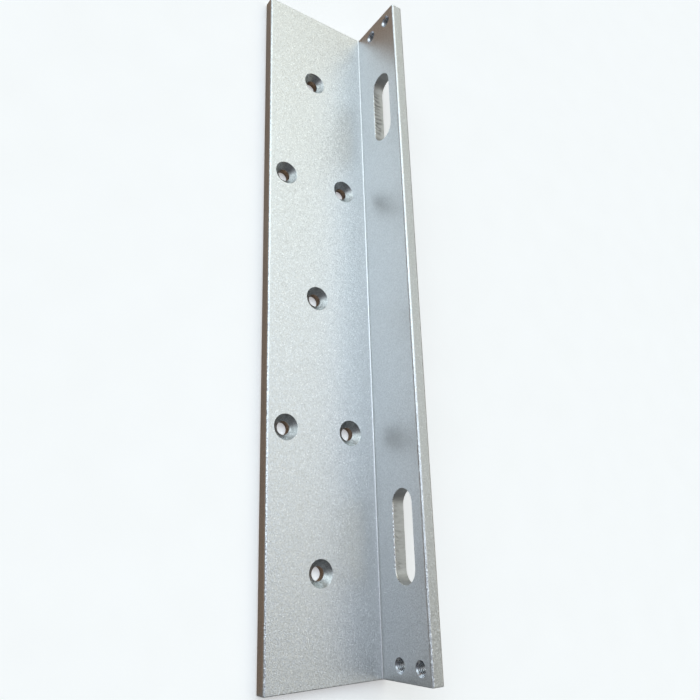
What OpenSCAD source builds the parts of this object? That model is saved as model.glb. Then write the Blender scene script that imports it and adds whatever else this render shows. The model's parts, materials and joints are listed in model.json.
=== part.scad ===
// L-bracket for a magnetic door lock: one length of extruded aluminium angle.
// The wide flange lies flat and carries seven countersunk screw holes.
// The narrow flange stands up along the +Y side and carries two slots and
// four tapped holes.
//
// Frame: X runs along the bracket, Y across the wide flange, Z up.
// The origin is the middle of the wide flange's flat underside.

/* [Angle section] */
// Length of the bracket
bracket_len = 250; // [246:1:290]
// Width of the wide flange, measured over the heel
wide_leg = 46.8; // [46:0.1:55]
// Height of the narrow flange, measured over the heel
narrow_leg = 28.5; // [28:0.1:36]
// Wall thickness of both flanges
wall = 4.7; // [4:0.1:5.5]
// Radius of the five outer corners of the section
arris_r = 0.8; // [0.3:0.1:1.5]
// Radius of the inside corner of the section
root_r = 0.6; // [0.3:0.1:1.5]

/* [Countersunk screw holes, wide flange] */
// Diameter of the clearance bore for an M4 or No. 8 screw
screw_bore = 4.5; // [4.2:0.1:5]
// Diameter of the countersink at the inner face
sink_dia = 8.7; // [7.5:0.1:9]
// Included angle of the countersink
sink_angle = 90; // [90:5:100]
// Distance of the hole centre line from the narrow flange's inner face
screw_line = 22.5; // [21:0.1:23.5]
// Distance of the two end holes from the middle hole, along the bracket
end_hole_x = 92.6; // [80:0.1:105]
// Distance of each pair of holes from the middle hole, along the bracket
pair_x = 47.3; // [30:0.1:60]
// Spacing of the two holes of a pair, across the wide flange
pair_gap = 25; // [20:0.1:25.5]

/* [Adjustment slots, narrow flange] */
// Slot length, end to end
slot_len = 30; // [20:0.5:32]
// Slot width
slot_w = 10; // [6:0.1:11]
// Distance of each slot's centre from the middle of the bracket
slot_x = 82; // [60:0.5:95]
// Height of the slots' centre line above the wide flange's inner face
slot_line = 13.7; // [12.5:0.1:14.5]

/* [Tapped holes, narrow flange] */
// Tapping bore, 3.3 for an M4 x 0.7 thread
tap_bore = 3.3; // [3:0.1:4.2]
// Diameter of the chamfer at each mouth
tap_mouth = 4.8; // [4.4:0.1:5.4]
// Distance of the tapped holes from the middle of the bracket
tap_x = 120.25; // [115:0.25:120.25]
// Vertical spacing of the two tapped holes at each end
tap_gap = 10; // [8:0.1:10.5]
// Height of each tapped pair's middle above the wide flange's inner face
tap_line = 13.8; // [12.5:0.1:14]

/* [Hidden] */
$fn = 96;

heel_y = wide_leg / 2;                 // outer face of the narrow flange
inner_y = heel_y - wall;               // inner face of the narrow flange
screw_y = inner_y - screw_line;        // centre line of the screw holes
slot_z = wall + slot_line;             // centre line of the slots
tap_z = wall + tap_line;               // middle of each tapped pair
sink_depth = (sink_dia - screw_bore) / 2 / tan(sink_angle / 2);
tap_sink = (tap_mouth - tap_bore) / 2; // depth of the 45 degree chamfer
over = 1;                              // overrun past a face, for clean joins
through_len = wall + 2 * over;         // length of a cutter through a flange

// [x, y] of each screw hole: a row of three, then a pair on each side of the
// middle hole.
SCREW_CENTRES = concat(
    [for (x = [-end_hole_x, 0, end_hole_x]) [x, screw_y]],
    [for (x = [-pair_x, pair_x], s = [-1, 1]) [x, screw_y + s * pair_gap / 2]]
);

// The sliver between a sharp corner at [0, 0] and its rounding, for a corner
// that opens into the first quadrant. Cut away, it rounds an outer corner;
// added, it fills an inside one.
module corner_sliver(radius) {
    difference() {
        translate([-over, -over]) square(radius + over);
        translate([radius, radius]) circle(radius);
    }
}

// The angle's section, drawn flat: its x becomes Y and its y becomes Z.
module section() {
    difference() {
        union() {
            translate([-heel_y, 0]) square([wide_leg, wall]);
            translate([inner_y, 0]) square([wall, narrow_leg]);
            translate([inner_y, wall]) mirror([1, 0]) corner_sliver(root_r);
        }
        // heel
        translate([heel_y, 0]) mirror([1, 0]) corner_sliver(arris_r);
        // free edge of the wide flange, underside and inner side
        translate([-heel_y, 0]) corner_sliver(arris_r);
        translate([-heel_y, wall]) mirror([0, 1]) corner_sliver(arris_r);
        // free edge of the narrow flange, inner side and outer side
        translate([inner_y, narrow_leg]) mirror([0, 1]) corner_sliver(arris_r);
        translate([heel_y, narrow_leg]) mirror([1, 0]) mirror([0, 1]) corner_sliver(arris_r);
    }
}

module angle_bar() {
    translate([-bracket_len / 2, 0, 0])
        rotate([90, 0, 90])
            linear_extrude(height = bracket_len) section();
}

// Round cutter along Z, through a wall that starts at z = 0.
module through_bore(dia) {
    translate([0, 0, -over]) cylinder(h = through_len, d = dia);
}

// Cutter for a countersunk hole through the wide flange, sunk from above.
module screw_hole() {
    through_bore(screw_bore);
    translate([0, 0, wall - sink_depth])
        cylinder(h = sink_depth, d1 = screw_bore, d2 = sink_dia);
    translate([0, 0, wall]) cylinder(h = over, d = sink_dia);
}

// Cutter for a round-ended slot along X, through a wall that starts at y = 0.
module slot_cut() {
    straight = slot_len - slot_w;
    for (s = [-1, 1])
        translate([s * straight / 2, 0, 0])
            rotate([-90, 0, 0]) through_bore(slot_w);
    translate([-straight / 2, -over, -slot_w / 2])
        cube([straight, through_len, slot_w]);
}

// Cutter for a tapped hole through a wall that starts at y = 0, chamfered at
// both mouths.
module tapped_cut() {
    rotate([-90, 0, 0]) {
        through_bore(tap_bore);
        cylinder(h = tap_sink, d1 = tap_mouth, d2 = tap_bore);
        translate([0, 0, wall - tap_sink])
            cylinder(h = tap_sink, d1 = tap_bore, d2 = tap_mouth);
        for (z = [-over, wall])
            translate([0, 0, z]) cylinder(h = over, d = tap_mouth);
    }
}

module bracket() {
    color("silver")
        difference() {
            angle_bar();
            for (centre = SCREW_CENTRES) translate(concat(centre, 0)) screw_hole();
            for (s = [-1, 1])
                translate([s * slot_x, inner_y, slot_z]) slot_cut();
            for (s = [-1, 1], t = [-1, 1])
                translate([s * tap_x, inner_y, tap_z + t * tap_gap / 2]) tapped_cut();
        }
}

bracket();
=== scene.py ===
"""Lock bracket: an anodised aluminium angle with countersunk screw holes, slots and tapped holes.

The length runs along X. The wide flange lies flat with its free edge at -Y and its heel at +Y.
The narrow flange stands up along +Z at the heel. The mesh is worked out in millimetres.
"""
import json
import math
from types import SimpleNamespace

import bpy
import numpy as np
from mathutils import Matrix, Vector
from mathutils.geometry import delaunay_2d_cdt


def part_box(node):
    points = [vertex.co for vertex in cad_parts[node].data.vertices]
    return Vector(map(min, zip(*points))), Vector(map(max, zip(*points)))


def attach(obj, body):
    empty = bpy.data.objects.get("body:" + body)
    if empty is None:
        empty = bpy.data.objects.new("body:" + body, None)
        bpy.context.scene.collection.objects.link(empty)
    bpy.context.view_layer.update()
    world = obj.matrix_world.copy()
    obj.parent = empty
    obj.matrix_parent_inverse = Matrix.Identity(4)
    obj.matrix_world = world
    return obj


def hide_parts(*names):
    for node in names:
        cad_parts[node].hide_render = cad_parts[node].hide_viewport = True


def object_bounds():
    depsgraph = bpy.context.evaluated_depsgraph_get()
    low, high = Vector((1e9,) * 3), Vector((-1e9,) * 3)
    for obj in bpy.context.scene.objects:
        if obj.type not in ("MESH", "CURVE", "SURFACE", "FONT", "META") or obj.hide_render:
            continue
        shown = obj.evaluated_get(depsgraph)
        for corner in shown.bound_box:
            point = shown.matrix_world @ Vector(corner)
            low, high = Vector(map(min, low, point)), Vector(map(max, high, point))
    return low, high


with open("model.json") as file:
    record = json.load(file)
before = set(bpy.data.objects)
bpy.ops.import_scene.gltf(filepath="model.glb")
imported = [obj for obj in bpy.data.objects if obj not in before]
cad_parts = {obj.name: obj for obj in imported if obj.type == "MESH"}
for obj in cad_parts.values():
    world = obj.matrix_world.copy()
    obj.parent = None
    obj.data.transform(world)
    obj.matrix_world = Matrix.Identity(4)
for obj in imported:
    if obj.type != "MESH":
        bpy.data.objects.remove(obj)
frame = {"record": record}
cad_lo, cad_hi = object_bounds()
mounts = {mount["name"]: mount for mount in frame["record"]["mounts"]}
rng = np.random.default_rng(20)
MM = 1000.0                                 # millimetres in a metre

# ------------------------------------------------------------------ sizes, mm
box_lo, box_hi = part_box("bracket")
HALF_LENGTH = box_hi.x * MM
EDGE_Y, HEEL_Y = box_lo.y * MM, box_hi.y * MM           # free edge, heel face
UNDER_Z, TOP_Z = box_lo.z * MM, box_hi.z * MM           # underside, top of the narrow flange
WIDE_Z = mounts["wide_inner_face"]["pos_m"][2] * MM     # wide flange's inner face
NARROW_Y = mounts["narrow_inner_face"]["pos_m"][1] * MM     # narrow flange's inner face
WALL = WIDE_Z - UNDER_Z

ARRIS_R = 0.8                               # outer corners of the section
ROOT_R = 0.6                                # inside corner of the section
END_R = 0.28                                # broken edge round each cut end
SWEEP_X = HALF_LENGTH - END_R               # where the straight section stops
FACE_STEP = 4.0                             # spacing of points across a flat side

SINK_R = 4.35                               # countersink, 90 degrees
BORE_R = mounts["screw_pairs"]["dims"]["hole_r_mm"]
SLOT_DIMS = mounts["adjustment_slots"]["dims"]
SLOT_R = SLOT_DIMS["hole_r_mm"]
SLOT_HALF = SLOT_DIMS["slot_length_mm"] / 2 - SLOT_R    # half the straight part
TAP_R = mounts["tapped_holes"]["dims"]["hole_r_mm"]
TAP_MOUTH_R, PITCH, MAJOR_R = 2.4, 0.7, 2.02            # M4 x 0.7


def hole_centres(name):
    """Centres of a one- or two-row pattern of holes, in its flange's own two axes."""
    mount = mounts[name]
    dims = mount["dims"]
    across = [i for i in range(3) if abs(mount["axis"][i]) < 0.5]
    spacing_x, spacing_y = dims.get("spacing_x_mm", 0.0), dims.get("spacing_y_mm", 0.0)
    first, second = (mount["pos_m"][i] * MM for i in across)
    return [(first + i * spacing_x / 2, second + j * spacing_y / 2)
            for i in (-1, 1) for j in ((-1, 1) if spacing_y else (0,))]


screws = hole_centres("screw_pairs") + hole_centres("end_screws")
screws.append(tuple(c * MM for c in mounts["middle_screw"]["pos_m"][:2]))
slots = hole_centres("adjustment_slots")
taps = hole_centres("tapped_holes")

# material slots of the bracket, in the order the materials are added
FACE, ENDS, SINK, MILLED, THREAD, BORE, ARRIS, EDGE, INNER, LIP = range(10)


# ------------------------------------------------------------------ mesh tools
class Builder:
    """Collects patches, welds shared points and keeps a normal for each face corner."""

    def __init__(self):
        self.index, self.points = {}, []
        self.faces, self.normals, self.slots = [], [], []
        self.marks = {}                     # point -> how deep a tool mark is there, 0 to 1; the slot wall is darkened there as painted shade

    def point(self, p):
        key = tuple(round(p[i] * 1e4) for i in range(3))
        if key not in self.index:
            self.index[key] = len(self.points)
            self.points.append(tuple(float(c) for c in p))
        return self.index[key]

    def face(self, corners, normals, slot):
        ids, kept = [], []
        for p, normal in zip(corners, normals):
            i = self.point(p)
            if i not in ids:
                ids.append(i)
                kept.append(tuple(float(c) for c in normal))
        if len(ids) < 3:
            return
        self.faces.append(ids)
        self.normals.append(kept)
        self.slots.append(slot)

    def grid(self, points, normals, slot, closed=False, marks=None):
        """Adds a rows x columns x 3 grid, wound to agree with its normals.

        slot is one material slot, or a list with one for each strip between rows.
        """
        rows, cols = points.shape[:2]
        if marks is not None:
            for p, value in zip(points.reshape(-1, 3), marks.ravel()):
                self.marks[self.point(p)] = float(value)
        for r in range(rows - 1):
            strip_slot = slot[r] if isinstance(slot, list) else slot
            for c in range(cols if closed else cols - 1):
                d = (c + 1) % cols
                cells = ((r, c), (r, d), (r + 1, d), (r + 1, c))
                quad = [points[cell] for cell in cells]
                around = [normals[cell] for cell in cells]
                cross = np.cross(quad[2] - quad[0], quad[3] - quad[1])
                if cross @ (around[0] + around[1] + around[2] + around[3]) < 0:
                    quad, around = quad[::-1], around[::-1]
                self.face(quad, around, strip_slot)

    def plane(self, loops, place, normal, slot, spread):
        """Fills the flat region inside the first loop and outside the others.

        Loops and the loose points in spread are 2-D; place() puts one in 3-D.
        """
        points, edges = [], []
        for loop in loops:
            start, count = len(points), len(loop)
            points += [tuple(p) for p in loop]
            edges += [(start + i, start + (i + 1) % count) for i in range(count)]
        points += spread
        result = delaunay_2d_cdt([Vector(p) for p in points], edges, [], 0, 1e-5)
        origin = [sources[0] for sources in result[3]]      # fails if outlines cross
        flat = np.array(points, float)
        normal = np.array(normal, float)
        triangles = np.array([[origin[i] for i in face] for face in result[2]])
        middle = flat[triangles].mean(1)
        rings = [np.array(loop, float) for loop in loops]
        keep = inside(middle, rings[0])
        for ring in rings[1:]:
            keep &= ~inside(middle, ring)
        for triangle in triangles[keep]:
            corners = [place(flat[i]) for i in triangle]
            if np.cross(corners[1] - corners[0], corners[2] - corners[0]) @ normal < 0:
                corners = corners[::-1]
            self.face(corners, [normal] * 3, slot)


def inside(points, ring):
    """Even-odd test of many points against one closed outline."""
    x, y = points[:, 0][:, None], points[:, 1][:, None]
    x0, y0 = ring[:, 0][None], ring[:, 1][None]
    x1, y1 = np.roll(ring[:, 0], -1)[None], np.roll(ring[:, 1], -1)[None]
    spans = (y0 > y) != (y1 > y)
    with np.errstate(divide="ignore", invalid="ignore"):
        crossing = (x1 - x0) * (y - y0) / (y1 - y0) + x0
    return (spans & (x < crossing)).sum(1) % 2 == 1


def ring_normals(points, want):
    """Smooth normals of a grid closed along its rows, pointing along want on the whole."""
    rows, cols = points.shape[:2]
    wrapped = np.concatenate([points, points[:, :1]], axis=1)
    facets = np.cross(wrapped[1:, 1:] - wrapped[:-1, :-1], wrapped[1:, :-1] - wrapped[:-1, 1:])
    normals = np.zeros_like(points)
    for down in (0, 1):
        for along in (0, 1):
            normals[down:down + rows - 1] += np.roll(facets, along, axis=1)
    normals /= np.maximum(np.linalg.norm(normals, axis=2, keepdims=True), 1e-12)
    return -normals if (normals * want).sum() < 0 else normals


class Noise:
    """Smooth seeded value noise in one or two dimensions, values about -1 to 1."""

    def __init__(self, seed):
        self.table = np.random.default_rng(seed).uniform(-1, 1, (64, 64))

    def at(self, i, j):
        return self.table[i % 64, j % 64]

    def __call__(self, x, y=0.0):
        x, y = np.broadcast_arrays(np.asarray(x, float), np.asarray(y, float))
        i, j = np.floor(x).astype(int), np.floor(y).astype(int)
        x, y = x - i, y - j
        x, y = x * x * (3 - 2 * x), y * y * (3 - 2 * y)
        return ((1 - x) * (1 - y) * self.at(i, j) + x * (1 - y) * self.at(i + 1, j)
                + (1 - x) * y * self.at(i, j + 1) + x * y * self.at(i + 1, j + 1))


mesh = Builder()


# ------------------------------------------------------------------ the section
def arc(y, z, radius, start, end, steps=8, hollow=False):
    """Rounded corner of the section, angles in degrees. Rows are y, z, normal y, normal z."""
    sign = -1 if hollow else 1
    out = []
    for angle in np.linspace(math.radians(start), math.radians(end), steps + 1):
        c, s = math.cos(angle), math.sin(angle)
        out.append((y + radius * c, z + radius * s, sign * c, sign * s))
    return out


def straight(start, end):
    """Points strictly between two corners, with the normal they share."""
    length = math.hypot(end[0] - start[0], end[1] - start[1])
    count = max(3, round(length / FACE_STEP))
    return [tuple(start[i] + (end[i] - start[i]) * k / count for i in (0, 1)) + start[2:]
            for k in range(1, count)]


corners = [
    arc(EDGE_Y + ARRIS_R, UNDER_Z + ARRIS_R, ARRIS_R, 180, 270),    # free edge, underside
    arc(HEEL_Y - ARRIS_R, UNDER_Z + ARRIS_R, ARRIS_R, -90, 0),      # heel
    arc(HEEL_Y - ARRIS_R, TOP_Z - ARRIS_R, ARRIS_R, 0, 90),         # narrow top, outer
    arc(NARROW_Y + ARRIS_R, TOP_Z - ARRIS_R, ARRIS_R, 90, 180),     # narrow top, inner
    arc(NARROW_Y - ROOT_R, WIDE_Z + ROOT_R, ROOT_R, 0, -90, hollow=True),   # inside corner
    arc(EDGE_Y + ARRIS_R, WIDE_Z - ARRIS_R, ARRIS_R, 90, 180),      # free edge, inner
]
INSIDE_CORNER = 4
# each side runs from the corner of its own number to the next
UNDERSIDE, HEEL_FACE, TOP_EDGE, NARROW_INNER, WIDE_INNER, FREE_EDGE = range(6)
sides = [straight(corners[i][-1], corners[(i + 1) % 6][0]) for i in range(6)]
section = np.array([p for corner, side in zip(corners, sides) for p in corner + side])
stations = np.linspace(-SWEEP_X, SWEEP_X, 63)


def sweep(strip, slot):
    """Draws part of the section along the length."""
    strip = np.array(strip)
    points = np.zeros((len(stations), len(strip), 3))
    normals = np.zeros_like(points)
    points[:, :, 0] = stations[:, None]
    points[:, :, 1:] = strip[None, :, :2]
    normals[:, :, 1:] = strip[None, :, 2:]
    mesh.grid(points, normals, slot)


def cut_end(side):
    """One end: a small broken edge all the way round, then a flat cap."""
    points, normals = [], []
    for angle in np.linspace(0, math.pi / 2, 5):
        inset = END_R * (1 - math.cos(angle))
        row = np.zeros((len(section), 3))
        row[:, 0] = side * (SWEEP_X + END_R * math.sin(angle))
        row[:, 1:] = section[:, :2] - section[:, 2:] * inset
        normal = np.zeros_like(row)
        normal[:, 0] = side * math.sin(angle)
        normal[:, 1:] = section[:, 2:] * math.cos(angle)
        points.append(row)
        normals.append(normal)
    mesh.grid(np.array(points), np.array(normals), [FACE, FACE, ENDS, ENDS], closed=True)
    outline = section[:, :2] - section[:, 2:] * END_R
    # loose points along the middle of each flange
    gap = 2.4
    middle = [(y, UNDER_Z + WALL / 2) for y in np.arange(EDGE_Y + 2.5, NARROW_Y, gap)]
    middle += [(HEEL_Y - WALL / 2, z) for z in np.arange(WIDE_Z + 1, TOP_Z - 2, gap)]
    mesh.plane([outline], lambda p: np.array([side * HALF_LENGTH, p[0], p[1]]),
               (side, 0, 0), ENDS, middle)


for i, corner in enumerate(corners):
    sweep(corner, INNER if i == INSIDE_CORNER else ARRIS)
for i in (TOP_EDGE, FREE_EDGE):
    sweep([corners[i][-1]] + sides[i] + [corners[(i + 1) % 6][0]], EDGE)
for side in (-1, 1):
    cut_end(side)


# ------------------------------------------------------------------ holes
class Flange:
    """Where holes enter a flange, and the outlines they leave on its two faces.

    place() takes 2-D points and their depth below the inner face. The wall's normals at the
    entry and exit rows follow the faces; exit_normal None leaves the exit as the wall has it.
    """

    def __init__(self, place, entry_normal, exit_normal=None):
        self.place = place
        self.entry_normal, self.exit_normal = entry_normal, exit_normal
        self.inner_outlines, self.outer_outlines = [], []

    def cut(self, centre, base, out, radius, depths, slot, marks=None):
        """Adds a hole's wall, from the inner face to the outer.

        base and out are the outline's centres of curvature and outward directions. radius is
        rows x columns, depths has one value for each row.
        """
        flat = np.array(centre)[None, None] + base[None] + out[None] * radius[:, :, None]
        points = self.place(flat, np.repeat(depths[:, None], len(out), 1))
        zero = np.zeros(len(out))
        inward = self.place(-out, zero) - self.place(0 * out, zero)
        normals = ring_normals(points, inward[None])
        normals[0] = self.entry_normal
        if self.exit_normal:
            normals[-1] = self.exit_normal
        mesh.grid(points, normals, slot, closed=True, marks=marks)
        self.inner_outlines.append(flat[0])
        self.outer_outlines.append(flat[-1])


wide = Flange(lambda flat, depth: np.stack([flat[..., 0], flat[..., 1], WIDE_Z - depth], -1),
              entry_normal=(0, 0, 1))
narrow = Flange(lambda flat, depth: np.stack([flat[..., 0], NARROW_Y + depth, flat[..., 1]], -1),
                entry_normal=(0, -1, 0), exit_normal=(0, 1, 0))


def circle(count):
    """Centres of curvature, outward directions and angles round a circle."""
    angle = np.arange(count) * 2 * math.pi / count
    return np.zeros((count, 2)), np.stack([np.cos(angle), np.sin(angle)], 1), angle


def stadium(half, radius, step):
    """Centres of curvature, outward directions and running length round a slot's outline."""
    arc_count, line_count = round(math.pi * radius / step), round(2 * half / step)
    base, out = [], []
    for side in (1, -1):                    # the -Z side and +X end, then the +Z side and -X end
        for k in range(line_count):
            base.append((side * (-half + 2 * half * k / line_count), 0.0))
            out.append((0.0, -float(side)))
        for k in range(arc_count):
            angle = -side * math.pi / 2 + math.pi * k / arc_count
            base.append((side * half, 0.0))
            out.append((math.cos(angle), math.sin(angle)))
    base, out = np.array(base), np.array(out)
    points = base + out * radius
    lengths = np.linalg.norm(points - np.roll(points, 1, axis=0), axis=1)
    return base, out, np.cumsum(lengths) - lengths[0]


def join_fade(run, total, over):
    """Fades noise to nothing where an outline closes, so that its two ends meet."""
    return np.minimum(1.0, np.minimum(run, total - run) / over)


def countersink_rows():
    """Rows of a screw hole: radius, depth, share of the tool's chatter; and the cone's rows."""
    rim, lip = 0.05, 0.04                   # rounding at the face, soft edge into the bore
    sink_depth = SINK_R - BORE_R
    exit_edge = 0.16
    rows = []
    rim_r = rim / math.tan(math.pi / 8)
    for angle in np.linspace(0, math.pi / 4, 4):        # rounded rim, from flat to 45 degrees
        rows.append((SINK_R + rim - rim_r * math.sin(angle), rim_r * (1 - math.cos(angle)), 0.8))
    cone_top = SINK_R - rim * math.sin(math.pi / 4)
    for s in np.linspace(0, 1, 13)[1:]:
        radius = cone_top + (BORE_R + lip - cone_top) * s
        rows.append((radius, SINK_R - radius, 1.0 - 0.6 * s))
    cone_rows = len(rows)
    for s in np.linspace(0, 1, 4)[1:]:                  # soft edge into the bore
        rows.append((BORE_R + lip * (1 - s) ** 2, sink_depth - lip + s * 2.4 * lip,
                     0.3 * (1 - s)))
    bore_top = sink_depth + 1.4 * lip
    for s in np.linspace(0, 1, 9)[1:]:
        rows.append((BORE_R, bore_top + (WALL - exit_edge - bore_top) * s, 0.0))
    for s in np.linspace(0, 1, 3)[1:]:                  # 45 degree edge at the underside
        rows.append((BORE_R + exit_edge * s, WALL - exit_edge + exit_edge * s, 0.0))
    return np.array(rows), cone_rows


def screw_hole(k, centre):
    """Countersunk hole with a little chatter from the cutter."""
    base, out, angle = circle(128)
    rows, cone_rows = countersink_rows()
    radius, depth, chatter = rows[:, :1], rows[:, 1], rows[:, 2:3]
    lobes, turn = rng.integers(9, 14), rng.uniform(0, 6.28)
    wobble, fine = Noise(100 + k), Noise(200 + k)
    fade = join_fade(angle, 2 * math.pi, over=0.35)
    # lobes from the flutes, slow wander and a slight oval, in mm
    around = (0.005 * np.sin(lobes * angle + turn) + 0.004 * wobble(angle * 18 / (2 * math.pi))
              + 0.012 * np.sin(2 * angle + turn * 2)) * fade
    rough = 0.003 * fine((angle * 7.3)[None], (depth * 5.0)[:, None]) * fade[None]
    slot = [SINK] * (cone_rows - 1) + [BORE] * (len(rows) - cone_rows)
    wide.cut(centre, base, out, radius + chatter * (around[None] + rough), depth, slot)


# Cutter marks on each slot's straight sides, lengths in mm:
#   slant        sideways drift of a mark for each mm of depth
#   bow          curve of a mark
#   stray        how far marks wander from an even spacing, in spacings
#   reach        depth where the marks die out
#   width        half width of a mark
#   cut, vary    strength of the marks, and how much it varies from patch to patch
#   torn_from    noise level above which the wall is torn; torn_gain is how strongly
#   dwell        depth of the shallow step in the rounded +X end
SLOT_WEAR = [
    SimpleNamespace(slant=0.16, bow=0.10, stray=0.34, reach=3.1, width=0.42, cut=0.85, vary=0.50,
                    torn_from=0.45, torn_gain=1.5, dwell=0.0),      # -X slot
    SimpleNamespace(slant=0.08, bow=0.03, stray=0.50, reach=2.3, width=0.26, cut=0.24, vary=0.34,
                    torn_from=0.42, torn_gain=1.1, dwell=0.11),     # +X slot
]
MARK_GAP = 1.72                             # from one mark to the next
SLOT_STEP = 0.15                            # spacing of points round a slot
ENTRY_EDGE, EXIT_EDGE = 0.42, 0.18          # depth of the broken edges of a slot


def milled_slot(k, centre):
    """Slot with slanting flute marks on its straight sides, strongest by the inner face."""
    wear = SLOT_WEAR[k]
    base, out, run = stadium(SLOT_HALF, SLOT_R, SLOT_STEP)
    wander, patch, fine, bead, torn = (Noise(310 + 10 * k + i) for i in range(5))
    entry_rows, exit_rows = 6, 4
    depths = np.concatenate([
        ENTRY_EDGE * (1 - np.cos(np.linspace(0, math.pi / 2, entry_rows))),
        np.linspace(ENTRY_EDGE, WALL - EXIT_EDGE, 27)[1:],
        WALL - EXIT_EDGE + EXIT_EDGE * np.sin(np.linspace(0, math.pi / 2, exit_rows))[1:],
    ])
    along, depth = run[None, :], depths[:, None]
    on_line = np.clip((SLOT_HALF + 0.4 - np.abs(base[:, 0] + out[:, 0] * SLOT_R)) / 1.0, 0, 1)
    on_line = on_line[None]                 # 1 on the straight sides, 0 in the rounded ends
    join = join_fade(run, run[-1] + SLOT_STEP, over=1.0)[None]

    # slightly curved strokes: the phase is a whole number at the middle of each
    phase = ((along - wear.slant * depth + wear.bow * (depth - 1.6) ** 2) / MARK_GAP
             + wear.stray * wander(along / 2.6, depth / 2.4 + 3))
    away = np.abs(phase - np.round(phase)) * MARK_GAP
    width = wear.width + 0.12 * wander(along / 1.9 + 30, depth / 1.5)
    strength = np.clip(wear.cut + wear.vary * patch(along / 2.1, depth / 1.3), 0.0, 1.2)
    end = wear.reach + 0.7 * patch(along / 1.2 + 9, 0.0)
    fade = 1.0 / (1.0 + np.exp((depth - end) / 0.28))
    groove = np.exp(-(away / width) ** 2) * strength * fade * on_line
    # torn spots, drawn out across the wall
    blot = np.clip(torn(along / 0.42, depth / 1.5) - wear.torn_from, 0, 1)
    blot = blot * wear.torn_gain * fade * on_line
    # depth in mm of the grooves, torn spots, fine roughness and slow waviness
    wave = (0.130 * groove + 0.080 * blot
            + 0.012 * fine(along / 0.4, depth / 0.5) * fade * on_line
            + 0.003 * fine(along / 1.1, depth / 1.3 + 20)) * join

    # widths of the broken edges; beads stand between the marks, mostly on the -Z side
    tooth = 0.5 + 0.5 * np.cos(2 * math.pi * (phase[:1] + 0.42))
    beads = (0.42 * tooth ** 1.6 * np.clip(0.8 + 0.5 * bead(along / 1.4), 0, 1.2)
             + 0.06 * np.clip(bead(along / 0.5), 0, 1))
    beads = beads * np.where(out[:, 1] < 0, 1.0, 0.2)[None]
    entry_width = 0.08 + beads * on_line * join
    exit_width = 0.13 + 0.03 * bead(along / 1.1, 7.0) * join

    # shallow step low in the rounded +X end
    turn = np.where(base[:, 0] > 0, np.arctan2(out[:, 1], out[:, 0]), 9.0)[None]
    dwell = wear.dwell * np.exp(-((turn + 0.62 + 0.06 * (depth - 2.0)) / 0.11) ** 2)
    dwell = dwell * np.clip((depth - 0.6) / 0.8, 0, 1)

    into = np.clip(depth / ENTRY_EDGE, 0, 1)
    leaving = np.clip((depth - (WALL - EXIT_EDGE)) / EXIT_EDGE, 0, 1)
    hold = np.clip(depth / ENTRY_EDGE, 0.15, 1) * np.clip((WALL - depth) / EXIT_EDGE, 0, 1)
    radius = (SLOT_R + entry_width * (1 - np.sqrt(np.clip(1 - (1 - into) ** 2, 0, 1)))
              + exit_width * (1 - np.sqrt(np.clip(1 - leaving ** 2, 0, 1)))
              + (wave + dwell) * hold)
    slot = [LIP] * (entry_rows - 1) + [MILLED] * (len(depths) - entry_rows)
    narrow.cut(centre, base, out, radius, depths, slot,
               marks=np.clip(groove + blot, 0, 1) ** 0.8 * hold)


def thread_radius(phase):
    """Wall radius of an internal 60 degree thread; one turn is a phase of 1."""
    crest_flat, root_flat = 0.25, 0.125     # shares of the pitch
    flank = 0.5 * (1 - crest_flat - root_flat)
    up = np.clip((np.abs(np.mod(phase, 1.0) - 0.5) - crest_flat / 2) / flank, 0, 1)
    return TAP_R + (MAJOR_R - TAP_R) * (up * up * (3 - 2 * up) * 0.35 + up * 0.65)


def tapped_hole(k, centre):
    """Hole with a real helical thread and a 45 degree mouth at both faces."""
    start = rng.uniform(0, 1)
    base, out, angle = circle(72)
    edge = 0.05                             # depth of the softened rim
    depths = np.concatenate([
        np.linspace(0, edge, 3),
        np.linspace(edge, WALL - edge, 82)[1:],
        np.linspace(WALL - edge, WALL, 3)[1:],
    ])
    depth = depths[:, None]
    helix = thread_radius(depth / PITCH - angle[None] / (2 * math.pi) + start)
    near = np.minimum(depth, WALL - depth)
    fade = join_fade(angle, 2 * math.pi, over=0.5)
    mouth = (np.maximum(TAP_MOUTH_R - depth, TAP_MOUTH_R - (WALL - depth))
             + 0.04 * np.clip(1 - near / edge, 0, 1) ** 2
             + 0.012 * (Noise(400 + k)(angle * 3.1) * fade)[None])
    narrow.cut(centre, base, out, np.maximum(helix, mouth), depths, THREAD)


for make_hole, centres in ((screw_hole, screws), (milled_slot, slots), (tapped_hole, taps)):
    for k, centre in enumerate(centres):
        make_hole(k, centre)


# ------------------------------------------------------------------ flat faces with holes
def spread_points(low, high, holes, gap=4.1):
    """Loose points over a flat face, clear of its holes."""
    points = np.array([(x, across) for x in np.arange(-SWEEP_X + gap, SWEEP_X - gap / 2, gap)
                       for across in np.arange(low + gap, high - gap / 2, gap)]) + 0.01
    keep = np.ones(len(points), bool)
    for hole in holes:
        distance = np.linalg.norm(points[:, None] - hole[None, ::4], axis=2)
        keep &= ~inside(points, hole) & (np.min(distance, axis=1) > gap * 0.35)
    return [tuple(p) for p in points[keep]]


def flat_face(side, axis, holes, place, normal):
    """One flat side of the section; axis is 0 where it runs along Y, 1 where along Z."""
    start = corners[side][-1][axis]
    end = corners[(side + 1) % 6][0][axis]
    between = [p[axis] for p in sides[side]]
    border = [(x, start) for x in stations]
    border += [(stations[-1], across) for across in between]
    border += [(x, end) for x in stations[::-1]]
    border += [(stations[0], across) for across in between[::-1]]
    mesh.plane([border] + holes, place, normal, FACE,
               spread_points(min(start, end), max(start, end), holes))


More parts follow.
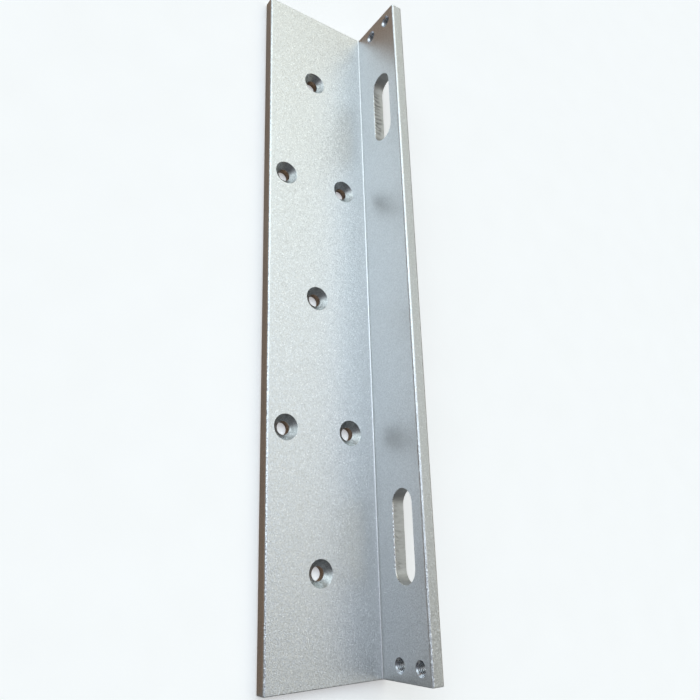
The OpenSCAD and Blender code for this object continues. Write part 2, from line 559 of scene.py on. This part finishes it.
flat_face(UNDERSIDE, 0, wide.outer_outlines, lambda p: np.array([p[0], p[1], UNDER_Z]), (0, 0, -1))
flat_face(HEEL_FACE, 1, narrow.outer_outlines, lambda p: np.array([p[0], HEEL_Y, p[1]]), (0, 1, 0))
flat_face(NARROW_INNER, 1, narrow.inner_outlines,
          lambda p: np.array([p[0], NARROW_Y, p[1]]), (0, -1, 0))
flat_face(WIDE_INNER, 0, wide.inner_outlines, lambda p: np.array([p[0], p[1], WIDE_Z]), (0, 0, 1))


# ------------------------------------------------------------------ the bracket object
def make_object(name, builder):
    data = bpy.data.meshes.new(name)
    data.from_pydata([tuple(c * 0.001 for c in p) for p in builder.points], [], builder.faces)
    data.polygons.foreach_set("material_index", builder.slots)
    data.polygons.foreach_set("use_smooth", [True] * len(builder.faces))
    marks = data.attributes.new("marks", "FLOAT", "POINT")
    marks.data.foreach_set("value", [builder.marks.get(i, 0.0) for i in range(len(builder.points))])
    data.update()
    data.normals_split_custom_set(
        [Vector(normal).normalized() for face in builder.normals for normal in face])
    obj = bpy.data.objects.new(name, data)
    bpy.context.scene.collection.objects.link(obj)
    return obj


bracket = make_object("lock_bracket", mesh)
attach(bracket, "root")
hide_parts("bracket")


# ------------------------------------------------------------------ node tools
class Nodes:
    """Short ways to add nodes. Any input may be a value or another node's output."""

    def __init__(self, tree):
        self.tree = tree
        tree.nodes.clear()

    def add(self, kind, inputs=None, **props):
        node = self.tree.nodes.new(kind)
        for name, value in props.items():
            setattr(node, name, value)
        for socket, value in (inputs or {}).items():
            self.put(node.inputs[socket], value)
        return node

    def put(self, socket, value):
        if isinstance(value, bpy.types.NodeSocket):
            self.tree.links.new(value, socket)
        else:
            socket.default_value = value

    def math(self, operation, *values):
        return self.add("ShaderNodeMath", dict(enumerate(values)), operation=operation).outputs[0]

    def vector(self, operation, first, second=None, scale=None, output="Vector"):
        inputs = {0: first, 1: second, "Scale": scale}
        inputs = {socket: value for socket, value in inputs.items() if value is not None}
        return self.add("ShaderNodeVectorMath", inputs, operation=operation).outputs[output]


class Shader(Nodes):
    """A material with one Principled surface. Colours are given as three values."""

    def __init__(self, name):
        self.material = bpy.data.materials.new(name)
        self.material.use_nodes = True
        super().__init__(self.material.node_tree)
        output = self.add("ShaderNodeOutputMaterial")
        self.surface = self.add("ShaderNodeBsdfPrincipled")
        self.put(output.inputs["Surface"], self.surface.outputs[0])
        self.coord = self.add("ShaderNodeTexCoord").outputs["Object"]

    def math(self, operation, *values):
        """Inputs that aren't given are zero."""
        return super().math(operation, *values, *(0.0,) * (3 - len(values)))

    def noise(self, scale, detail, rough=0.5, vector=None, output="Fac"):
        inputs = {"Vector": vector or self.coord, "Scale": scale, "Detail": detail,
                  "Roughness": rough}
        return self.add("ShaderNodeTexNoise", inputs).outputs[output]

    def stretched(self, scale, rotation=(0, 0, 0)):
        inputs = {"Vector": self.coord, "Rotation": rotation, "Scale": scale}
        return self.add("ShaderNodeMapping", inputs).outputs[0]

    def axis_of(self, vector, axis):
        return self.add("ShaderNodeSeparateXYZ", {0: vector}).outputs[axis]

    def remap(self, value, span=(0.3, 0.7), to=(0.0, 1.0)):
        inputs = {"Value": value, "From Min": span[0], "From Max": span[1],
                  "To Min": to[0], "To Max": to[1]}
        return self.add("ShaderNodeMapRange", inputs, clamp=True).outputs["Result"]

    def mix(self, factor, first, second, blend="MIX"):
        first, second = ((*c, 1) if isinstance(c, tuple) else c for c in (first, second))
        return self.add("ShaderNodeMix", {0: factor, 6: first, 7: second},
                        data_type="RGBA", blend_type=blend).outputs[2]

    def tint(self, tone, by):
        return self.mix(1.0, tone, by, "MULTIPLY")

    def bump(self, height, strength, distance, normal=None):
        inputs = {"Height": height, "Strength": strength, "Distance": distance}
        if normal is not None:
            inputs["Normal"] = normal
        return self.add("ShaderNodeBump", inputs).outputs["Normal"]

    def grain_normal(self, scale, tilt):
        """Tilts the normal at random in small patches, so that the surface sparkles."""
        colour = self.noise(scale, detail=1.0, output="Color")
        offset = self.vector("SUBTRACT", colour, (0.5, 0.5, 0.5))
        offset = self.vector("SCALE", offset, scale=tilt)
        normal = self.add("ShaderNodeNewGeometry").outputs["Normal"]
        return self.vector("NORMALIZE", self.vector("ADD", normal, offset))

    def rings(self, frequency, wobble, by):
        """Wavy rings stacked along Z, from -1 to 1."""
        height = self.math("MULTIPLY", self.axis_of(self.coord, "Z"), frequency)
        return self.math("SINE", self.math("ADD", height, self.math("MULTIPLY", wobble, by)))

    def finish(self, **values):
        for name, value in values.items():
            self.put(self.surface.inputs[name.replace("_", " ")], value)
        return self.material


# ------------------------------------------------------------------ materials
def blasted(name, dark=1.0, rough_by=0.0, tilt=0.56, glint_fleck=0.84):
    """Bead-blasted, clear anodised aluminium: satin, with a fine sparkling grain.

    dark scales the colour, rough_by adds to the roughness, tilt is the strength of the grain
    and the last argument the strength of the bright flecks, glints painted into the colour.
    """
    mat = Shader(name)
    broad = mat.noise(scale=22.0, detail=3.0, rough=0.55)
    grain = mat.noise(scale=2000.0, detail=3.0, rough=0.62)
    grit = mat.noise(scale=4200.0, detail=1.0)
    tone = mat.mix(mat.remap(broad), (0.765, 0.785, 0.795), (0.795, 0.810, 0.815))
    tone = mat.tint(tone, (dark, dark, dark))
    tone = mat.tint(tone, mat.remap(grain, span=(0.28, 0.72), to=(0.83, 1.025)))
    # sparse bright flecks painted into the colour as glints, fewer on faces that look along Y as
    # painted shade
    cells = mat.add("ShaderNodeTexVoronoi", {"Vector": mat.coord, "Scale": 1250.0})
    near = mat.remap(cells.outputs["Distance"], span=(0.14, 0.38), to=(1.0, 0.0))
    sparse = mat.remap(mat.noise(scale=900.0, detail=1.0), span=(0.44, 0.56))
    lit = mat.math("MULTIPLY", near, sparse)
    normal_y = mat.axis_of(mat.add("ShaderNodeNewGeometry").outputs["Normal"], "Y")
    glint_by_facing = mat.remap(mat.math("ABSOLUTE", normal_y), span=(0.5, 0.9), to=(glint_fleck, glint_fleck * 0.4))
    tone = mat.mix(mat.math("MULTIPLY", lit, glint_by_facing), tone, (0.97, 0.98, 0.98))
    rough = mat.math("ADD", mat.remap(broad, to=(0.43 + rough_by, 0.47 + rough_by)),
                     mat.remap(grit, to=(-0.06, 0.06)))
    normal = mat.grain_normal(scale=3000.0, tilt=tilt)
    return mat.finish(Base_Color=tone, Metallic=1.0, Roughness=rough, Normal=normal)


def brushed_end():
    """Cut and lightly brushed ends, anodised over the saw lines."""
    mat = Shader("anodised_cut_end")
    stretch = mat.stretched(scale=(1.0, 0.12, 1.0), rotation=(math.radians(14), 0, 0))
    saw = mat.noise(scale=5200.0, detail=3.0, rough=0.65, vector=stretch)
    grain = mat.noise(scale=2600.0, detail=2.0)
    tone = mat.mix(mat.remap(saw), (0.66, 0.675, 0.69), (0.78, 0.79, 0.80))
    rough = mat.remap(saw, to=(0.34, 0.48))
    normal = mat.grain_normal(scale=2400.0, tilt=0.10)
    normal = mat.bump(saw, strength=0.5, distance=0.00008, normal=normal)
    normal = mat.bump(grain, strength=0.2, distance=0.00004, normal=normal)
    return mat.finish(Base_Color=tone, Metallic=1.0, Roughness=rough, Normal=normal)


def countersink():
    """Turned cone: fine rings and smeared chips from the cutter, slightly stained."""
    mat = Shader("machined_countersink")
    wobble = mat.noise(scale=420.0, detail=2.0)
    rings = mat.rings(frequency=52000.0, wobble=wobble, by=5.0)
    flattened = mat.stretched(scale=(1.0, 1.0, 3.2))
    smear = mat.noise(scale=1100.0, detail=4.0, rough=0.65, vector=flattened)
    stain = mat.noise(scale=520.0, detail=3.0, rough=0.6)
    tone = mat.mix(mat.remap(smear, span=(0.34, 0.66)), (0.84, 0.86, 0.85), (0.46, 0.48, 0.475))
    tone = mat.tint(tone, mat.remap(stain, to=(0.74, 1.04)))
    rough = mat.math("ADD", mat.remap(smear, span=(0.3, 0.75), to=(0.26, 0.42)),
                     mat.remap(rings, span=(-1.0, 1.0), to=(-0.03, 0.03)))
    normal = mat.bump(rings, strength=0.30, distance=0.000008)
    normal = mat.bump(smear, strength=0.45, distance=0.00006, normal=normal)
    return mat.finish(Base_Color=tone, Metallic=1.0, Roughness=rough, Normal=normal)


def milled():
    """Bare slot wall: satin grey, smeared along the tool's axis, darker in the tool marks as
    painted shade.
    """
    mat = Shader("milled_slot_wall")
    stretch = mat.stretched(scale=(1.0, 0.16, 1.0))
    streak = mat.noise(scale=1500.0, detail=3.0, rough=0.6, vector=stretch)
    fine = mat.noise(scale=3600.0, detail=2.0, rough=0.6)
    grey = mat.noise(scale=480.0, detail=2.0)
    marks = mat.add("ShaderNodeAttribute", attribute_name="marks").outputs["Fac"]
    tone = mat.mix(mat.remap(streak), (0.61, 0.615, 0.61), (0.70, 0.705, 0.70))
    tone = mat.tint(tone, mat.remap(grey, span=(0.25, 0.75), to=(0.90, 1.0)))
    tone = mat.tint(tone, mat.remap(fine, span=(0.25, 0.75), to=(0.88, 1.0)))
    # tool marks and torn spots darkened almost to black: painted shade in the grooves
    tone = mat.mix(mat.math("MULTIPLY", marks, 0.72), tone, (0.22, 0.215, 0.205))
    rough = mat.math("ADD", mat.remap(streak, to=(0.58, 0.50)),
                     mat.math("MULTIPLY", marks, 0.10))
    normal = mat.bump(streak, strength=0.35, distance=0.00008)
    normal = mat.bump(fine, strength=0.3, distance=0.00003, normal=normal)
    return mat.finish(Base_Color=tone, Metallic=0.82, Roughness=rough, Normal=normal)


def smeared(name, scale, low, high, rough, strength, distance):
    """Bright cut metal with one smeared pattern in its colour, roughness and relief."""
    mat = Shader(name)
    smear = mat.noise(scale=scale, detail=3.0, rough=0.6)
    tone = mat.mix(mat.remap(smear), low, high)
    normal = mat.bump(smear, strength=strength, distance=distance)
    return mat.finish(Base_Color=tone, Metallic=1.0, Roughness=mat.remap(smear, to=rough),
                      Normal=normal)


def drilled():
    """Bore under the countersink: duller, with rings across its axis."""
    mat = Shader("drilled_bore")
    wobble = mat.noise(scale=500.0, detail=2.0)
    rings = mat.rings(frequency=30000.0, wobble=wobble, by=6.0)
    tone = mat.mix(mat.remap(wobble), (0.62, 0.62, 0.63), (0.74, 0.74, 0.75))
    rough = mat.remap(rings, span=(-1.0, 1.0), to=(0.26, 0.38))
    normal = mat.bump(rings, strength=0.3, distance=0.00001)
    return mat.finish(Base_Color=tone, Metallic=1.0, Roughness=rough, Normal=normal)


for material in (
    blasted("anodised_blasted"),
    brushed_end(),
    countersink(),
    milled(),
    smeared("cut_thread", scale=1500.0, low=(0.76, 0.78, 0.81), high=(0.52, 0.54, 0.58),
            rough=(0.13, 0.24), strength=0.3, distance=0.00004),
    drilled(),
    # outer corners of the section, rubbed smoother than the faces, their colour lifted a little as
    # painted highlight
    blasted("anodised_arris", dark=1.03, rough_by=-0.115, tilt=0.85),
    # the two narrow free edges, a little duller and coarser, their colour darkened as painted shade
    blasted("anodised_edge", dark=0.84, rough_by=0.03, tilt=0.70, glint_fleck=0.35),
    # the hollow between the flanges, where the blasting hardly reaches, its colour lifted a little
    # as painted highlight
    blasted("anodised_inner_corner", dark=1.02, rough_by=-0.10, tilt=0.20),
    # burnished edge of a slot
    smeared("milled_slot_lip", scale=1800.0, low=(0.93, 0.935, 0.94), high=(0.80, 0.805, 0.81),
            rough=(0.22, 0.34), strength=0.25, distance=0.00003),
):
    bracket.data.materials.append(material)


# ------------------------------------------------------------------ floor and table, metres
def plate(name, x0, x1, y0, y1, z):
    """A level rectangle with its origin in its middle."""
    half_x, half_y = (x1 - x0) / 2, (y1 - y0) / 2
    data = bpy.data.meshes.new(name)
    data.from_pydata([(-half_x, -half_y, 0), (half_x, -half_y, 0),
                      (half_x, half_y, 0), (-half_x, half_y, 0)], [], [(0, 1, 2, 3)])
    obj = bpy.data.objects.new(name, data)
    obj.location = ((x0 + x1) / 2, (y0 + y1) / 2, z)
    bpy.context.scene.collection.objects.link(obj)
    return obj


def pale_floor():
    """Pale, slightly glowing floor that the metal mirrors as mid-grey."""
    mat = Shader("floor_pale")
    paper = mat.noise(scale=60.0, detail=3.0)
    seen = mat.mix(mat.remap(paper), (0.90, 0.895, 0.885), (0.92, 0.916, 0.908))
    mirrored = mat.add("ShaderNodeLightPath").outputs["Is Glossy Ray"]
    return mat.finish(
        Base_Color=mat.mix(mirrored, seen, (0.27, 0.26, 0.25)),
        Roughness=0.9,
        Specular_IOR_Level=0.0,
        Emission_Color=(1.0, 1.0, 1.0, 1),
        Emission_Strength=mat.remap(mirrored, span=(0.0, 1.0), to=(0.32, 0.0)))


def reflected_card(name, x0, x1, y0, y1, light, dark):
    """A patch of table top that only the metal's reflections see."""
    card = plate(name, x0, x1, y0, y1, cad_lo.z - 0.00001)
    card.visible_camera = False
    card.visible_diffuse = False
    card.visible_shadow = False
    card.visible_transmission = False
    mat = Shader(name + "_mat")
    stretch = mat.stretched(scale=(1.0, 0.08, 1.0))
    wood = mat.noise(scale=90.0, detail=3.0, vector=stretch)
    tone = mat.mix(mat.remap(wood), dark, light)
    card.data.materials.append(mat.finish(Base_Color=tone, Roughness=0.6))


floor = plate("floor", -4, 4, -4, 4, cad_lo.z - 0.00002)
floor.data.materials.append(pale_floor())
# warm wood in front of and under the bracket; behind it a grey strip, painted shade for the metal's
# reflections
reflected_card("table_front", x0=-0.34, x1=HALF_LENGTH / MM, y0=-0.22, y1=NARROW_Y / MM,
               light=(0.36, 0.205, 0.105), dark=(0.30, 0.165, 0.080))
reflected_card("table_behind", x0=-0.22, x1=0.22, y0=NARROW_Y / MM, y1=0.18,
               light=(0.30, 0.30, 0.30), dark=(0.34, 0.34, 0.34))

# ------------------------------------------------------------------ studio light
ROOM = (0.05, 0.05, 0.05)                   # even light from all round
BACKDROP = (0.90, 0.92, 0.93, 1)            # what the camera sees behind the floor
# azimuth and elevation in degrees, tightness (higher is smaller), colour times strength
SOFT_LIGHTS = [
    (90, 45, 16, (0.82, 0.79, 0.62)),
    (126, 45, 16, (0.14, 0.17, 0.12)),
    (162, 45, 16, (1.50, 1.41, 1.15)),
    (-126, 45, 16, (2.14, 2.45, 2.56)),
    (120, 66, 16, (0.85, 0.86, 1.00)),
    (180, 66, 16, (0.20, 0.52, 0.69)),
    (-120, 66, 16, (0.65, 0.58, 0.73)),
    (0, 35, 16, (0.10, 0.11, 0.12)),
    (-50, 30, 16, (0.06, 0.06, 0.07)),
    (-80, 16, 30, (0.25, 0.27, 0.29)),
    (-150, 14, 24, (0.28, 0.32, 0.36)),
    (-158, 22, 40, (0.85, 0.94, 1.00)),
    (-141, 5, 40, (0.40, 0.44, 0.47)),
]


def studio_world():
    """Soft round lights in a dim room: each is exp(tightness * (cos(angle off it) - 1))."""
    world = bpy.data.worlds.new("studio")
    bpy.context.scene.world = world
    world.use_nodes = True
    sky = Nodes(world.node_tree)
    output = sky.add("ShaderNodeOutputWorld")
    background = sky.add("ShaderNodeBackground")
    toward = sky.add("ShaderNodeTexCoord").outputs["Generated"]
    total = sky.vector("ADD", ROOM, (0, 0, 0))
    for azimuth, elevation, tightness, colour in SOFT_LIGHTS:
        a, e = math.radians(azimuth), math.radians(elevation)
        direction = (math.cos(e) * math.cos(a), math.cos(e) * math.sin(a), math.sin(e))
        cosine = sky.vector("DOT_PRODUCT", toward, direction, output="Value")
        off = sky.math("SUBTRACT", cosine, 1.0)
        lobe = sky.math("EXPONENT", sky.math("MULTIPLY", off, float(tightness)))
        total = sky.vector("ADD", total, sky.vector("SCALE", colour, scale=lobe))
    sky.put(background.inputs["Color"], total)
    plain = sky.add("ShaderNodeBackground", {"Color": BACKDROP})
    is_camera = sky.add("ShaderNodeLightPath").outputs["Is Camera Ray"]
    mixed = sky.add("ShaderNodeMixShader",
                    {0: is_camera, 1: background.outputs[0], 2: plain.outputs[0]})
    sky.put(output.inputs["Surface"], mixed.outputs[0])


studio_world()


# ------------------------------------------------------------------ camera
def add_camera():
    """Above the wide flange's free edge, nearer the +X end, looking at the inside corner."""
    lens = bpy.data.cameras.new("camera")
    camera = bpy.data.objects.new("camera", lens)
    bpy.context.scene.collection.objects.link(camera)
    bpy.context.scene.camera = camera
    lens.sensor_width = 36.0
    lens.lens = 33.994131
    lens.shift_x = -0.01716
    lens.shift_y = 0.00025571429
    lens.clip_start = 0.005
    lens.clip_end = 50.0
    place = (0.09068, -0.11812, 0.19009)
    right = Vector((0.03299, 0.81836, 0.57376)).normalized()
    ahead = Vector((-0.30989, 0.55415, -0.77258)).normalized()
    up = right.cross(ahead).normalized()
    ahead = up.cross(right)                 # exactly square to the other two
    turn = Matrix((right, up, -ahead)).transposed().to_4x4()
    camera.matrix_world = Matrix.Translation(place) @ turn


add_camera()
view = bpy.context.scene.view_settings
view.view_transform = "Standard"
view.look = "None"
view.exposure = 0.0
